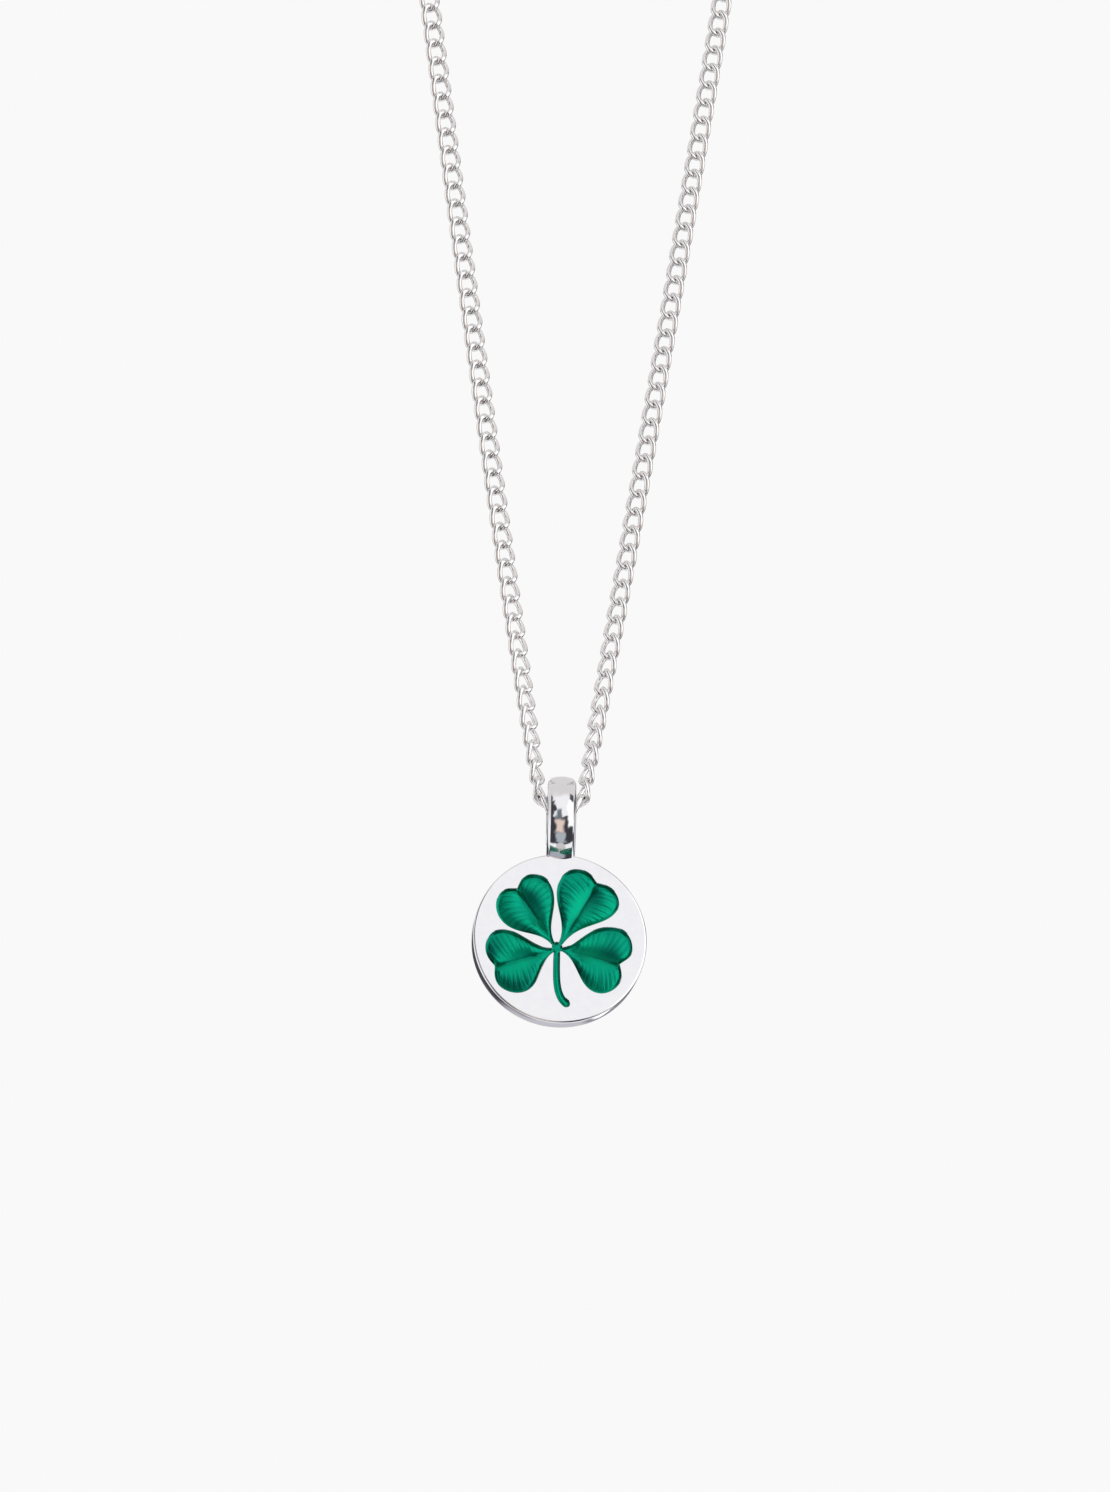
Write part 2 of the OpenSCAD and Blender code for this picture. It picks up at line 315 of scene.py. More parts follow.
def make_camera():
    data = bpy.data.cameras.new("camera")
    camera = bpy.data.objects.new("camera", data)
    bpy.context.scene.collection.objects.link(camera)
    bpy.context.scene.camera = camera
    data.sensor_width = SENSOR
    data.lens = SENSOR * PHOTO_SCALE * CAMERA_DISTANCE / PHOTO_H
    data.clip_start, data.clip_end = 0.05, 50.0
    azimuth, elevation = math.radians(CAMERA_AZIMUTH), math.radians(CAMERA_ELEVATION)
    back = Vector((
        math.sin(azimuth) * math.cos(elevation),
        -math.cos(azimuth) * math.cos(elevation),
        math.sin(elevation),
    ))
    level = (-back).to_track_quat("-Z", "Y").to_matrix()
    turned = level @ Matrix.Rotation(math.radians(CAMERA_ROLL), 3, "Z")
    right, up = turned.col[0], turned.col[1]
    face_centre = Vector(on_face(np.zeros((1, 2)), 0.0)[0])
    aside = (DISC_AT_PX[0] - PHOTO_W / 2) / PHOTO_SCALE
    below = (DISC_AT_PX[1] - PHOTO_H / 2) / PHOTO_SCALE
    place = face_centre + back * CAMERA_DISTANCE - right * aside + up * below
    camera.matrix_world = Matrix.Translation(place * MM) @ turned.to_4x4()


def make_floor():
    material, n = new_material("floor_paper")
    shade = n.mix(n.noise(n.place(), 0.01, 2.0), (0.86, 0.86, 0.86, 1), (0.84, 0.84, 0.845, 1))
    shader = n.add("ShaderNodeBsdfPrincipled", {"Base Color": shade, "Roughness": 0.8})
    n.output(shader.outputs[0])
    steps = 96
    rim = [(FLOOR_R * math.cos(2 * math.pi * k / steps), FLOOR_R * math.sin(2 * math.pi * k / steps), FLOOR_Z)
           for k in range(steps)]
    mesh = bpy.data.meshes.new("floor")
    mesh.from_pydata([(x * MM, y * MM, z * MM) for x, y, z in rim], [], [list(range(steps))])
    mesh.materials.append(material)
    floor = bpy.data.objects.new("floor", mesh)
    bpy.context.scene.collection.objects.link(floor)


BACKDROP = (0.947, 0.947, 0.947, 1)
ROOM = (0.945, 0.94, 0.95, 1)
# Panels round the studio that only reflections see, later ones over earlier. One is placed either by its
# azimuth and height, where azimuth 0 is the camera's side and 90 is the right, or by its angle to the right
# and its pitch, which runs from the front over the top. Then its half width, half height and the soft edge
# outside them, all in degrees, and its colour.
PANELS = [
    ("ceiling", "pitch", 0, 104, 90, 36, 22, (0.72, 0.70, 0.69)),
    ("right curtain", "azimuth", 132, -2, 26, 26, 9, (0.07, 0.07, 0.08)),
    ("right gap", "azimuth", 132, 6, 16, 7, 6, (0.62, 0.62, 0.64)),
    ("left curtain", "pitch", -40, -6, 9, 68, 5, (0.05, 0.05, 0.065)),
    ("left curtain top", "pitch", -32, 27, 8, 14, 5, (0.05, 0.05, 0.065)),
    ("left rear curtain", "azimuth", -152, -8, 14, 26, 8, (0.06, 0.06, 0.07)),
    ("rear low", "azimuth", 178, -20, 12, 18, 8, (0.56, 0.55, 0.59)),
    ("rear right grey", "azimuth", 163, 4, 5, 16, 4, (0.26, 0.26, 0.29)),
    ("rear right lamp", "azimuth", 164, -8, 2, 5, 2, (2.2, 2.2, 2.2)),
    ("front low", "pitch", 0, -45, 42, 37, 5, (0.045, 0.045, 0.055)),
    ("camera stand", "pitch", -11, -6, 7, 11, 9, (0.16, 0.19, 0.20)),
    ("camera", "pitch", -6, -31, 10, 12, 10, (0.80, 0.64, 0.56)),
    ("lens", "pitch", -1, -62, 11, 10, 8, (0.42, 0.46, 0.50)),
    ("right softbox", "pitch", 51, 6, 25, 40, 8, (1.25, 1.25, 1.25)),
    ("small flag", "pitch", 29, 54, 6, 9, 5, (0.08, 0.08, 0.10)),
]
WARP = 26.0  # degrees by which the panels' edges wander


def make_world():
    world = bpy.data.worlds.new("studio")
    bpy.context.scene.world = world
    world.use_nodes = True
    n = Nodes(world.node_tree)
    direction = n.add("ShaderNodeTexCoord").outputs["Generated"]
    x, y, z = n.add("ShaderNodeSeparateXYZ", {0: direction}).outputs
    front = n.math("MULTIPLY", y, -1.0)
    cloud = n.add("ShaderNodeTexNoise", {"Vector": direction, "Scale": 2.2, "Detail": 1.0}).outputs["Color"]
    aside, above, _ = n.add("ShaderNodeSeparateXYZ", {0: cloud}).outputs
    wander = [n.math("MULTIPLY", n.math("SUBTRACT", value, 0.5), WARP) for value in (aside, above)]
    angles = {
        "azimuth": (n.math("ARCTAN2", x, front), n.math("ARCSINE", z)),
        "pitch": (n.math("ARCSINE", x), n.math("ARCTAN2", z, front)),
    }
    places = {kind: [n.math("ADD", n.math("DEGREES", angle), shift) for angle, shift in zip(pair, wander)]
              for kind, pair in angles.items()}

    def within(angle, middle, half, soft):
        off = n.add("ShaderNodeMath", {0: n.math("SUBTRACT", angle, middle), 1: 180.0, 2: -180.0},
                    operation="WRAP").outputs[0]
        return n.add("ShaderNodeMapRange", {"Value": n.math("ABSOLUTE", off), 1: half + soft, 2: half},
                     interpolation_type="SMOOTHSTEP").outputs[0]

    colour = ROOM
    for name, kind, at, height, half_w, half_h, soft, tint in PANELS:
        across, up = places[kind]
        inside = n.math("MULTIPLY", within(across, at, half_w, soft), within(up, height, half_h, soft))
        inside.node.label = name
        colour = n.mix(inside, colour, (*tint, 1))
    seen = n.add("ShaderNodeLightPath").outputs["Is Camera Ray"]
    shader = n.add("ShaderNodeBackground", {"Color": n.mix(seen, colour, BACKDROP)})
    n.add("ShaderNodeOutputWorld", {"Surface": shader.outputs[0]})


# Chain


PITCH = LINK_L - 2 * WIRE_D - LINK_GAP
BAIL_STEP = PITCH - BAIL_SLACK


def joint_s(k):
    """Distance along the chain from the middle of the bail to the joint past link k."""
    return BAIL_STEP / 2 if k == 0 else 1.5 * BAIL_STEP + (k - 1) * PITCH


class Route:
    """The right half of the chain's line: through the bail, up the strand and over the top."""

    def __init__(self):
        low, high = (np.array(corner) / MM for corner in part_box("jump_rings"))
        ring_reach = (JUMP_D - JUMP_WIRE_D) / 2 - JUMP_GAP - (JUMP_WIRE_D + WIRE_D) / 2
        self.clasp_half = (high[0] - low[0] - JUMP_D) / 2 + ring_reach + (LINK_L - WIRE_D) / 2
        self.side_links = round((LOOP_LEN / 2 - self.clasp_half) / PITCH)
        self.last_s = joint_s(self.side_links) - PITCH / 2
        half_len = self.last_s + self.clasp_half
        bend_x = BAIL_STEP / 2 + BAIL_STEP * cos_d(ROUTE_BEND)
        bend_z = BAIL_STEP * sin_d(ROUTE_BEND)
        turn = math.radians(ROUTE_HIGH - ROUTE_LOW)
        lean = (sin_d(ROUTE_HIGH) - sin_d(ROUTE_LOW)) / turn
        share = math.radians(180 - ROUTE_HIGH) / sin_d(ROUTE_HIGH)
        self.strand_len = (half_len - 1.5 * BAIL_STEP - share * bend_x) / (1 + share * lean)
        self.strand_r = self.strand_len / turn
        self.bend = (bend_x, bend_z)
        rise = cos_d(ROUTE_LOW) - cos_d(ROUTE_HIGH)
        self.arch = (bend_x + self.strand_len * lean, bend_z + self.strand_r * rise)
        self.arch_r = self.arch[0] / sin_d(ROUTE_HIGH)

    @staticmethod
    def arc_place(start, heading, radius, s):
        h = heading + math.degrees(s / radius)
        return np.array([
            start[0] + radius * (sin_d(h) - sin_d(heading)),
            start[1] - radius * (cos_d(h) - cos_d(heading)),
        ])

    def at(self, s):
        past_flat, past_bend = s - BAIL_STEP / 2, s - 1.5 * BAIL_STEP
        if past_flat < 0:
            return np.array([s, 0.0])
        if past_bend < 0:
            return np.array([BAIL_STEP / 2 + past_flat * cos_d(ROUTE_BEND), past_flat * sin_d(ROUTE_BEND)])
        if past_bend < self.strand_len:
            return self.arc_place(self.bend, ROUTE_LOW, self.strand_r, past_bend)
        return self.arc_place(self.arch, ROUTE_HIGH, self.arch_r, past_bend - self.strand_len)

    def turn(self, s):
        from_bail = (s / TURN_REACH) ** TURN_FADE
        from_clasp = (max(self.last_s - s, 0.0) / TURN_REACH) ** TURN_FADE
        return TURN_AT_BAIL / (1 + from_bail) + TURN_AT_CLASP / (1 + from_clasp)

    def link_place(self, i):
        """Middle of link i on the right half, and its three directions: along, across and out of its face."""
        start = -joint_s(0) if i == 0 else joint_s(i - 1)
        end = joint_s(i)
        a, b = self.at(start), self.at(end)
        d = (b - a) / np.linalg.norm(b - a)
        t = self.turn((start + end) / 2)
        along = np.array([d[0], 0.0, d[1]])
        across = np.array([-d[1], 0.0, d[0]])
        out = np.array([0.0, -1.0, 0.0])
        m = (a + b) / 2
        frame3 = np.array([along, cos_d(t) * across + sin_d(t) * out, cos_d(t) * out - sin_d(t) * across])
        return np.array([m[0], 0.0, m[1] + HINGE_Z]), frame3


def link_shape(around, wire_sides, plain):
    """Points of one link in its own frame: a twisted oval of round wire."""
    half_l, half_w = (SHOWN_LINK_L - SHOWN_WIRE_D) / 2, (SHOWN_LINK_W - SHOWN_WIRE_D) / 2
    a = 2 * np.pi * np.arange(around) / around

    def line(angle):
        full = np.tanh(LINK_FULLNESS * np.cos(angle)) / math.tanh(LINK_FULLNESS)
        u = (half_l - half_w) * full + half_w * np.cos(angle)
        v = half_w * np.sin(angle)
        twist = math.radians(LINK_TWIST) * (np.ones_like(angle) if plain else np.cos(angle))
        return np.stack([u, v * np.cos(twist), v * np.sin(twist)], axis=1)

    middle = line(a)
    ahead = unit_rows(line(a + 0.01) - line(a - 0.01))
    twisted = middle + np.stack([np.zeros(around), -middle[:, 2], middle[:, 1]], axis=1)
    side = unit_rows(np.cross(ahead, twisted))
    up = np.cross(side, ahead)
    w = 2 * np.pi * np.arange(wire_sides) / wire_sides
    ring = np.cos(w)[None, :, None] * up[:, None, :] + np.sin(w)[None, :, None] * side[:, None, :]
    return middle[:, None, :] + SHOWN_WIRE_D / 2 * ring


def make_links(name, numbers, around, wire_sides, replaced):
    """One mesh of the links with these numbers, where negative ones are the mirrored left half."""
    points, faces = [], []
    shapes = {plain: link_shape(around, wire_sides, plain).reshape(-1, 3) for plain in (True, False)}
    j, k = np.meshgrid(np.arange(around), np.arange(wire_sides), indexing="ij")
    ring, next_ring = j * wire_sides, (j + 1) % around * wire_sides
    k_next = (k + 1) % wire_sides
    corners = [ring + k, next_ring + k, next_ring + k_next, ring + k_next]
    quads = np.stack([c.ravel() for c in corners], axis=1)
    for i in numbers:
        middle, directions = ROUTE.link_place(abs(i))
        here = middle + shapes[i == 0] @ directions
        if i < 0:
            here = here * np.array([-1.0, 1.0, 1.0])
        turned = quads[:, ::-1] if i < 0 else quads
        faces.append(turned + len(points) * around * wire_sides)
        points.append(here)
    piece = make_piece(name, np.concatenate(points), np.concatenate(faces).tolist(), CHAIN_SILVER,
                       "necklace", replaced)
    piece.data.shade_smooth()
    return piece


ROUTE = Route()


def make_chain():
    front = range(-FRONT_LINKS, FRONT_LINKS + 1)
    back = [i for i in range(-ROUTE.side_links, ROUTE.side_links + 1) if abs(i) > FRONT_LINKS]
    make_links("chain_front_links", front, 48, 14, ["chain_front"])
    make_links("chain_back_links", back, 36, 12, ["chain_back"])


# Clover outline, in the plane of the face with its origin at the disc's centre


def curve(handles, t):
    h = np.asarray(handles, float)
    t = np.asarray(t, float)[:, None]
    return (1 - t) ** 3 * h[0] + 3 * t * (1 - t) ** 2 * h[1] + 3 * t * t * (1 - t) * h[2] + t ** 3 * h[3]


CURVE_STEPS = 22
STEM_STEPS = 40


def leaf_side(leaf, side):
    """Points of one side of a leaf in its own plane, from the hub round the lobe to the notch."""
    reach, width, widest, swell = leaf[3] if side > 0 else leaf[4]
    notch = leaf[2] / reach
    swell *= widest
    points = []
    for number, handles in enumerate(LEAF_HALF):
        h = np.array(handles, float)
        if number == 0:
            h[:3, 0] *= swell
            h[3, 0] = widest
        else:
            start = widest if number == 1 else notch
            h[:, 0] = start + (1 - start) * h[:, 0]
        points.append(curve(h, np.arange(CURVE_STEPS) / CURVE_STEPS))
    return np.concatenate(points) * np.array([reach, width])


def leaf_turn(leaf):
    c, s = cos_d(leaf[1]), sin_d(leaf[1])
    return np.array([[c, s], [-s, c]])


def leaf_outline(leaf):
    other = leaf_side(leaf, -1)[::-1] * np.array([1, -1])
    ring = np.concatenate([leaf_side(leaf, 1), [[leaf[2], 0.0]], other])
    return ring @ leaf_turn(leaf) + np.array(leaf[0])


def stem_line(t):
    return curve(STEM, t)


def stem_outline():
    """The stem from the hub down one side, round its foot and back up."""
    t = np.linspace(0, 1, STEM_STEPS + 1)
    line = stem_line(t)
    d = unit_rows(stem_line(t + 0.01) - stem_line(t - 0.01))
    normal = np.stack([d[:, 1], -d[:, 0]], axis=1)
    width = (STEM_TOP_W + (STEM_FOOT_W - STEM_TOP_W) * t)[:, None] / 2
    a = np.linspace(0, np.pi, 19)[1:-1, None]
    foot = line[-1] + width[-1] * (np.cos(a) * normal[-1] + np.sin(a) * d[-1])
    return np.concatenate([line + width * normal, foot, (line - width * normal)[::-1]])


def circle(centre, radius, steps):
    a = 2 * np.pi * np.arange(steps) / steps
    return np.stack([centre[0] + radius * np.cos(a), centre[1] + radius * np.sin(a)], axis=1)


def clover_outlines():
    return [leaf_outline(leaf) for leaf in LEAVES] + [stem_outline(), circle(HUB, HUB_R, 48)]


def counterclockwise(ring):
    x, y = ring[:, 0], ring[:, 1]
    area = np.sum(x * np.roll(y, -1) - np.roll(x, -1) * y)
    return ring if area > 0 else ring[::-1]


def distance_to_edges(starts, ends, points):
    """Distance of each point to the nearest of some straight edges."""
    best = np.full(len(points), np.inf)
    for start, end in zip(starts, ends):
        step = end - start
        t = np.clip((points - start) @ step / max(step @ step, 1e-12), 0, 1)
        best = np.minimum(best, np.linalg.norm(points - start - t[:, None] * step, axis=1))
    return best


def distance_to(rings, points):
    """Distance of each point to the nearest edge of the rings."""
    ends = [np.roll(ring, -1, axis=0) for ring in rings]
    return distance_to_edges(np.concatenate(rings), np.concatenate(ends), points)


def triangulate(rings, extra):
    """Triangles inside the rings, with for each the numbers of the rings that it lies in."""
    points, loops = [], []
    for ring in rings:
        loops.append(list(range(len(points), len(points) + len(ring))))
        points.extend(Vector(p) for p in counterclockwise(ring))
    points.extend(Vector(p) for p in extra)
    found, _, faces, _, _, inside = delaunay_2d_cdt(points, [], loops, 1, 1e-7)
    return np.array([tuple(p) for p in found]), [tuple(f) for f in faces], inside


def border_edges(faces):
    """Edges that only one of the faces has, each in that face's own direction."""
    seen = {}
    for face in faces:
        for a, b in zip(face, face[1:] + face[:1]):
            seen[(a, b)] = True
    return [(a, b) for a, b in seen if (b, a) not in seen]


def inward(points, border):
    """For each point on the border of some faces, the unit direction into them; zero for the others."""
    push = np.zeros_like(points)
    for a, b in border:
        d = points[b] - points[a]
        step = np.array([-d[1], d[0]]) / max(np.linalg.norm(d), 1e-9)
        push[a] += step
        push[b] += step
    length = np.linalg.norm(push, axis=1, keepdims=True)
    return push / np.maximum(length, 1e-9)


def on_face(points, depth):
    """Points of the face's plane, at a depth under the disc's front."""
    back = np.broadcast_to(depth, len(points)) - DISC_T / 2
    c, s = cos_d(DISC_TURN), sin_d(DISC_TURN)
    return np.stack([c * points[:, 0] - s * back, s * points[:, 0] + c * back, points[:, 1] + DISC_Z], axis=1)


# Disc and bail


DISC_STEPS = 288
FILLET_STEPS = 8
BAIL_STEPS = 240


def lathe(profile, steps):
    """Quads of a closed profile of (radius, height) turned about the height axis."""
    a = 2 * np.pi * np.arange(steps) / steps
    ring = np.array(profile)
    points = np.stack([
        ring[None, :, 0] * np.cos(a)[:, None],
        ring[None, :, 0] * np.sin(a)[:, None],
        np.broadcast_to(ring[None, :, 1], (steps, len(ring))),
    ], axis=2).reshape(-1, 3)
    m = len(ring)
    faces = []
    for s in range(steps):
        n = (s + 1) % steps
        faces.extend((s * m + k, s * m + (k + 1) % m, n * m + (k + 1) % m, n * m + k) for k in range(m))
    return points, faces


def arc(centre, radius, start, end, steps):
    a = np.radians(np.linspace(start, end, steps + 1))
    return [(centre[0] + radius * math.cos(x), centre[1] + radius * math.sin(x)) for x in a]


def bail_profile():
    """Section of the bail: flat bore with rounded mouths, domed crown with round shoulders."""
    inner, outer = BAIL_BORE_D / 2, BAIL_D / 2
    half = BAIL_W / 2
    shoulder = (outer - BAIL_SHOULDER_R, half - BAIL_SHOULDER_R)
    crown = (outer - BAIL_CROWN_R, 0.0)
    # The crown's arc leaves the shoulder where the two circles cross
    gap = math.hypot(shoulder[0] - crown[0], shoulder[1] - crown[1])
    towards = math.degrees(math.atan2(shoulder[1] - crown[1], shoulder[0] - crown[0]))
    share = (gap ** 2 + BAIL_CROWN_R ** 2 - BAIL_SHOULDER_R ** 2) / (2 * gap * BAIL_CROWN_R)
    crown_end = towards + math.degrees(math.acos(share))
    share = (gap ** 2 + BAIL_SHOULDER_R ** 2 - BAIL_CROWN_R ** 2) / (2 * gap * BAIL_SHOULDER_R)
    shoulder_start = towards + 180 - math.degrees(math.acos(share))
    upper = arc(crown, BAIL_CROWN_R, 0, crown_end, 20)
    upper += arc(shoulder, BAIL_SHOULDER_R, shoulder_start, 90, 8)[1:]
    upper += arc((inner + BAIL_MOUTH_R, half - BAIL_MOUTH_R), BAIL_MOUTH_R, 90, 180, 12)
    lower = [(r, -z) for r, z in reversed(upper[1:])]
    return upper + lower


def make_bail():
    points, faces = lathe(bail_profile(), BAIL_STEPS)
    turned = np.stack([points[:, 2], points[:, 0], points[:, 1] + BAIL_Z], axis=1)
    mesh = bpy.data.meshes.new("bail")
    mesh.from_pydata([tuple(p) for p in turned * MM], [], faces)
    return mesh


def make_disc():
    """The disc with the clover's pocket, as one closed mesh."""
    rim_r = DISC_D / 2 - DISC_EDGE_R
    rings = clover_outlines()
    edge = circle((0, 0), rim_r, DISC_STEPS)
    flat, faces, inside = triangulate(rings + [edge], [])
    pocket = [f for f, where in zip(faces, inside) if any(k < len(rings) for k in where)]
    face = [f for f, where in zip(faces, inside) if all(k >= len(rings) for k in where)]
    n = len(flat)
    border = border_edges(pocket)
    # The pocket's upper edge is broken by a small chamfer, so the face begins a little outside the wall
    chamfer = flat - POCKET_CHAMFER * inward(flat, border)
    points = [on_face(chamfer, 0.0), on_face(flat, POCKET_CHAMFER), on_face(flat, POCKET_DEPTH)]
    made = [tuple(f) for f in face] + [tuple(v + 2 * n for v in f) for f in pocket]
    made += [(b + k, a + k, a + n + k, b + n + k) for a, b in border for k in (0, n)]
    # Round edges, wall and back, from the face's rim backwards
    section = arc((rim_r, DISC_EDGE_R), DISC_EDGE_R, -90, 0, FILLET_STEPS)
    section += arc((rim_r, DISC_T - DISC_EDGE_R), DISC_EDGE_R, 0, 90, FILLET_STEPS)
    a = 2 * np.pi * np.arange(DISC_STEPS) / DISC_STEPS
    start = 3 * n
    for radius, depth in section:
        ring = np.stack([radius * np.cos(a), radius * np.sin(a)], axis=1)
        points.append(on_face(ring, depth))
    for row in range(len(section) - 1):
        for s in range(DISC_STEPS):
            t = (s + 1) % DISC_STEPS
            low, high = start + row * DISC_STEPS, start + (row + 1) * DISC_STEPS
            made.append((low + t, low + s, high + s, high + t))
    last = start + (len(section) - 1) * DISC_STEPS
    made.append(tuple(last + s for s in range(DISC_STEPS))[::-1])
    mesh = bpy.data.meshes.new("disc")
    mesh.from_pydata([tuple(p) for p in np.concatenate(points) * MM], [], made)
    return mesh


def cleaned(mesh):
    """Joins points in the same place, drops loose ones and turns every face outwards."""
    b = bmesh.new()
    b.from_mesh(mesh)
    bmesh.ops.remove_doubles(b, verts=b.verts, dist=1e-8)
    loose = [v for v in b.verts if not v.link_faces]
    bmesh.ops.delete(b, geom=loose, context="VERTS")
    bmesh.ops.recalc_face_normals(b, faces=b.faces)
    b.to_mesh(mesh)
    b.free()
    return mesh


FLAT_ENOUGH = 0.99999
SHARP_ANGLE = math.radians(20)


def make_pendant():
    disc = bpy.data.objects.new("pendant_silver", cleaned(make_disc()))
    bail = bpy.data.objects.new("bail", cleaned(make_bail()))
    for piece in (disc, bail):
        bpy.context.scene.collection.objects.link(piece)
    join = disc.modifiers.new("solder", "BOOLEAN")
    join.operation = "UNION"
    join.solver = "EXACT"
    join.object = bail
    applied(disc)
    bpy.data.objects.remove(bail)
    mesh = disc.data
    mesh.shade_smooth()
    mesh.set_sharp_from_angle(angle=SHARP_ANGLE)
    for face in mesh.polygons:
        if abs(face.normal.dot(FACE_NORMAL)) > FLAT_ENOUGH:
            face.use_smooth = False
    finish_piece(disc, SILVER, "pendant", ["pendant_body"])
    return disc


# Enamel relief


RELIEF_STEP = 0.055
RELIEF_EDGE = 0.22
ENAMEL_LOW = 0.33  # depth of the glass along the pocket's wall
ENAMEL_GAP = 0.012

# Heights of the glass over that low edge
HUB_RISE = 0.06
STEM_RISE = 0.07
STEM_RISE_HALF_W = 0.3
STEM_START, STEM_FADE = 0.3, 0.9  # from the middle of the hub
LEAF_RISE = 0.02
LEAF_START, LEAF_FADE = 0.5, 1.2  # from where the leaf springs
PILLOW = 0.27
FULL_VEIN = 1.6  # from this length of a vein on, the relief is full
VEINS = 15  # in half a leaf
VEIN_BEND = 0.8  # how far a vein bends back towards the hub, in veins
VEIN_WANDER = 0.35
VEIN_RISE = 0.020
FINE_VEINS = 2.7  # for each vein
FINE_VEIN_RISE = 0.006
RIB_HALF_W = 0.16
RIB_FALL = 0.02

# How dark the glass is painted, from 0 to 1: painted shade in the vein grooves, along the midrib, along the
# pocket's wall and round a spot in each leaf half, over an even tint on the hub and stem
HUB_SHADE = 0.15
VEIN_SHADE = 0.42
RIB_SHADE = 0.25
EDGE_SHADE = 0.45
EDGE_SHADE_W = 0.11
SPOT_SHADE = 0.65
# In the left and the right half of each leaf, the painted shade is darkest round a spot where that half turns
# away from the light: its share along the outline, and its share out from the midrib
SHADED_SPOTS = [
    ((0.30, 0.80), (0.70, 0.22)),
    ((0.22, 0.85), (0.74, 0.20)),
    ((0.62, 0.80), (0.84, 0.66)),
    ((0.70, 0.24), (0.30, 0.78)),
]
SPOT_REACH = (0.23, 0.34)


def leaf_coordinates(leaf, points, side):
    """For points in a half of a leaf: how far along the outline their vein ends, from 0 to 1, how far out on
    that vein they lie, from the midrib to the outline, and how long the vein is."""
    local = (points - np.array(leaf[0])) @ leaf_turn(leaf).T
    p = local * np.array([1, side])
    rim = np.concatenate([leaf_side(leaf, side), [[leaf[2], 0.0]]])
    steps = np.concatenate([[0], np.cumsum(np.linalg.norm(np.diff(rim, axis=0), axis=1))])
    t = steps / steps[-1]
    # Each vein leaves the midrib a little nearer the notch than its share along the outline
    rib = np.stack([leaf[2] * np.minimum(1.0, t ** 0.9 * 1.02), np.zeros(len(t))], axis=1)
    vein = rim - rib
    to_p = p[:, None, :] - rib[None, :, :]
    cross = vein[None, :, 0] * to_p[:, :, 1] - vein[None, :, 1] * to_p[:, :, 0]
    behind = cross > 0
    first = np.argmax(behind, axis=1)
    first[~behind.any(axis=1)] = len(t) - 1
    before = np.maximum(first - 1, 0)
    rows = np.arange(len(p))
    c0, c1 = cross[rows, before], cross[rows, first]
    mix = np.clip(c0 / np.where(np.abs(c0 - c1) < 1e-12, 1.0, c0 - c1), 0, 1)
    along = t[before] * (1 - mix) + t[first] * mix
    start = rib[before] * (1 - mix[:, None]) + rib[first] * mix[:, None]
    end = rim[before] * (1 - mix[:, None]) + rim[first] * mix[:, None]
    reach = np.linalg.norm(end - start, axis=1)
    out = np.clip(np.linalg.norm(p - start, axis=1) / np.maximum(reach, 1e-6), 0, 1)
    return along, out, reach


def wobble(values, seed):
    """A smooth irregular wave for veins that aren't all alike."""
    r = np.random.default_rng(seed)
    total = np.zeros_like(values)
    for octave in range(4):
        total += np.sin(values * (3.1 * (octave + 1)) + r.uniform(0, 2 * np.pi)) / (octave + 1)
    return total / 2


def half_height(leaf, side, seed, points):
    """Height of the engraved ground of half a leaf over its lowest level, and how much painted shade its
    glass gets.
    """
    along, out, reach = leaf_coordinates(leaf, points, side)
    full = np.clip(reach / FULL_VEIN, 0, 1)
    pillow = PILLOW * full * np.sin(np.pi * out ** 0.95)
    phase = VEINS * along + VEIN_BEND * out ** 2 + VEIN_WANDER * wobble(along * 7, seed)
    groove = np.abs(np.sin(np.pi * phase)) ** 0.8
    fine = np.sin(2 * np.pi * (phase * FINE_VEINS + VEIN_WANDER * wobble(out * 3 + along * 5, seed + 20)))
    # The veins fade in past the midrib and out at the outline
    strength = smooth((out - 0.08) * 2.2) * np.clip((1 - out) * 5, 0, 1) * full
    rib = np.exp(-(out * reach / RIB_HALF_W) ** 2)
    height = pillow + strength * (VEIN_RISE * groove + FINE_VEIN_RISE * fine) - RIB_FALL * rib
    spot = np.array(SHADED_SPOTS[LEAVES.index(leaf)][0 if side > 0 else 1])
    from_spot = (np.stack([along, out], axis=1) - spot) / SPOT_REACH
    near_spot = np.exp(-np.sum(from_spot ** 2, axis=1))
    # Painted shade: darker in the vein grooves, along the midrib's crease and round the half's shaded spot
    depth = VEIN_SHADE * (1 - groove) * strength + RIB_SHADE * rib + SPOT_SHADE * near_spot
    return height, depth


def inside_ring(ring, points):
    """Whether each point lies in a ring, by counting crossings."""
    x, y = points[:, 0], points[:, 1]
    inside = np.zeros(len(points), bool)
    for (x0, y0), (x1, y1) in zip(ring, np.roll(ring, -1, axis=0)):
        if y0 == y1:
            continue
        crosses = (y0 > y) != (y1 > y)
        inside ^= crosses & (x < (x1 - x0) * (y - y0) / (y1 - y0) + x0)
    return inside


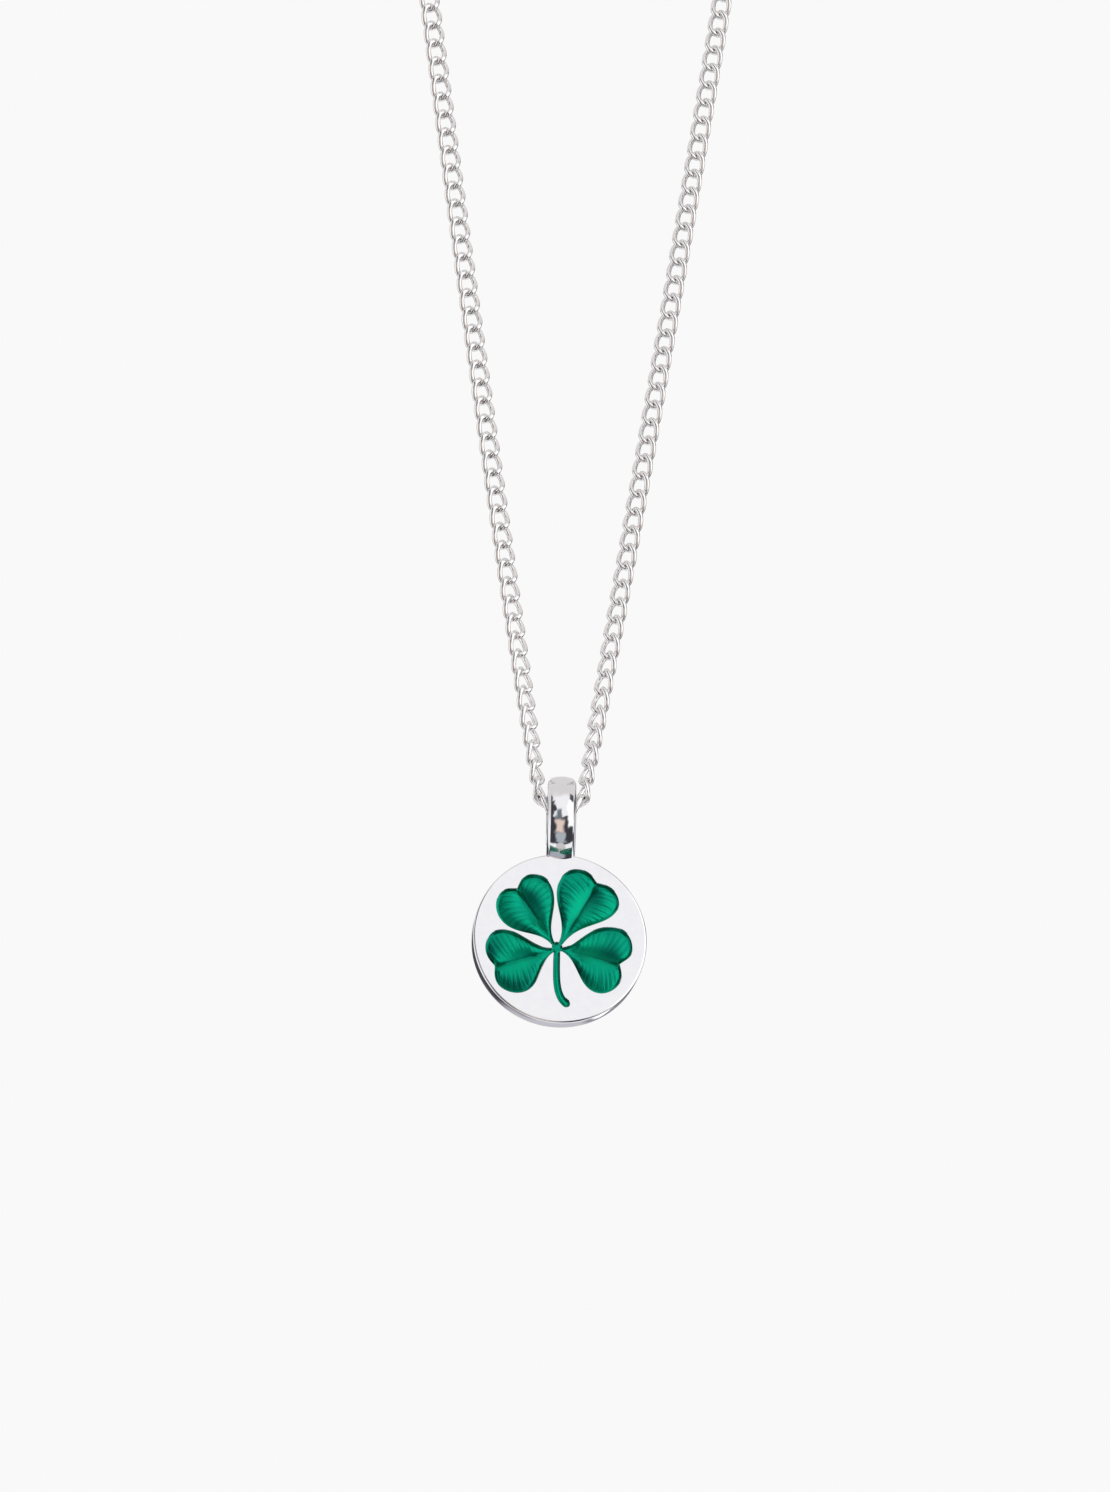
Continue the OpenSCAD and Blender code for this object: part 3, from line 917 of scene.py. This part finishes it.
def relief_grid(rings):
    """Points of a three-way grid that lie in the clover and keep off its lines."""
    low = np.min([r.min(0) for r in rings], axis=0)
    high = np.max([r.max(0) for r in rings], axis=0)
    rows = np.arange(low[1], high[1], RELIEF_STEP * math.sqrt(3) / 2)
    grid = []
    for number, z in enumerate(rows):
        x = np.arange(low[0] + (number % 2) * RELIEF_STEP / 2, high[0], RELIEF_STEP)
        grid.append(np.stack([x, np.full_like(x, z)], axis=1))
    grid = np.concatenate(grid)
    grid = grid[np.any([inside_ring(r, grid) for r in rings], axis=0)]
    ribs = []
    for leaf in LEAVES:
        x = np.arange(1.0, leaf[2] - RELIEF_STEP / 2, RELIEF_STEP * 0.8)
        ribs.append(np.stack([x, np.zeros_like(x)], axis=1) @ leaf_turn(leaf) + np.array(leaf[0]))
    ribs = np.concatenate(ribs)
    off_ribs = np.min(np.linalg.norm(grid[:, None, :] - ribs[None, :, :], axis=2), axis=1) > RELIEF_STEP * 0.6
    grid = grid[off_ribs & (distance_to(rings, grid) > RELIEF_STEP * 0.45)]
    return np.concatenate([grid, ribs[distance_to(rings, ribs) > RELIEF_STEP * 0.3]])


def make_enamel():
    rings = clover_outlines()
    flat, faces, _ = triangulate(rings, relief_grid(rings))
    border = border_edges(faces)
    push = ENAMEL_GAP * inward(flat, border)  # the glass steps back from the pocket's wall
    starts, ends = np.array(border).T
    to_edge = distance_to_edges(flat[starts], flat[ends], flat)
    height = np.full(len(flat), HUB_RISE)
    depth = np.full(len(flat), HUB_SHADE)
    from_hub = np.linalg.norm(flat - np.array(HUB), axis=1)
    stem = stem_line(np.linspace(0, 1, 60))
    to_stem = np.min(np.linalg.norm(flat[:, None, :] - stem[None, :, :], axis=2), axis=1)
    past_hub = smooth((from_hub - STEM_START) / STEM_FADE)
    height += STEM_RISE * np.clip(1 - (to_stem / STEM_RISE_HALF_W) ** 2, 0, 1) * past_hub
    for number, leaf in enumerate(LEAVES):
        mine = inside_ring(leaf_outline(leaf), flat)
        left = ((flat - np.array(leaf[0])) @ leaf_turn(leaf).T)[:, 1] > 0
        from_base = np.linalg.norm(flat - np.array(leaf[0]), axis=1)
        for side in (1, -1):
            share = smooth((from_base - LEAF_START) / LEAF_FADE) * mine * (left == (side > 0))
            h, d = half_height(leaf, side, 10 + 2 * number + (side > 0), flat)
            height = height * (1 - share) + (LEAF_RISE + h) * share
            depth = depth * (1 - share) + d * share
    bevel = smooth(to_edge / RELIEF_EDGE)
    under = ENAMEL_LOW - height * bevel
    # Painted shade along the pocket's wall
    depth = np.clip(depth + EDGE_SHADE * (1 - smooth(to_edge / EDGE_SHADE_W)), 0, 1)
    top = on_face(flat + push, under)
    bottom = on_face(flat + push, POCKET_DEPTH - ENAMEL_GAP)
    n = len(flat)
    made = [tuple(f) for f in faces] + [tuple(v + n for v in f[::-1]) for f in faces]
    made += [(b, a, a + n, b + n) for a, b in border]
    piece = make_piece("clover_relief", np.concatenate([top, bottom]), made, ENAMEL,
                       "pendant", ["clover_enamel"])
    mesh = piece.data
    # The depth attribute carries the painted shade to the enamel's colour
    values = mesh.attributes.new("depth", "FLOAT", "POINT")
    values.data.foreach_set("value", np.concatenate([depth, np.ones(n)]).astype(np.float32))
    mesh.shade_smooth()
    mesh.set_sharp_from_angle(angle=math.radians(60))
    return piece


def dress_cad_nodes():
    """The clasp and the jump rings keep their solids and get the silver."""
    for name in ("clasp", "jump_rings"):
        node = frame["nodes"][name]
        node.data.materials.clear()
        node.data.materials.append(SILVER)


make_camera()
make_floor()
make_world()
bpy.context.scene.view_settings.view_transform = "Standard"
make_chain()
make_pendant()
make_enamel()
dress_cad_nodes()
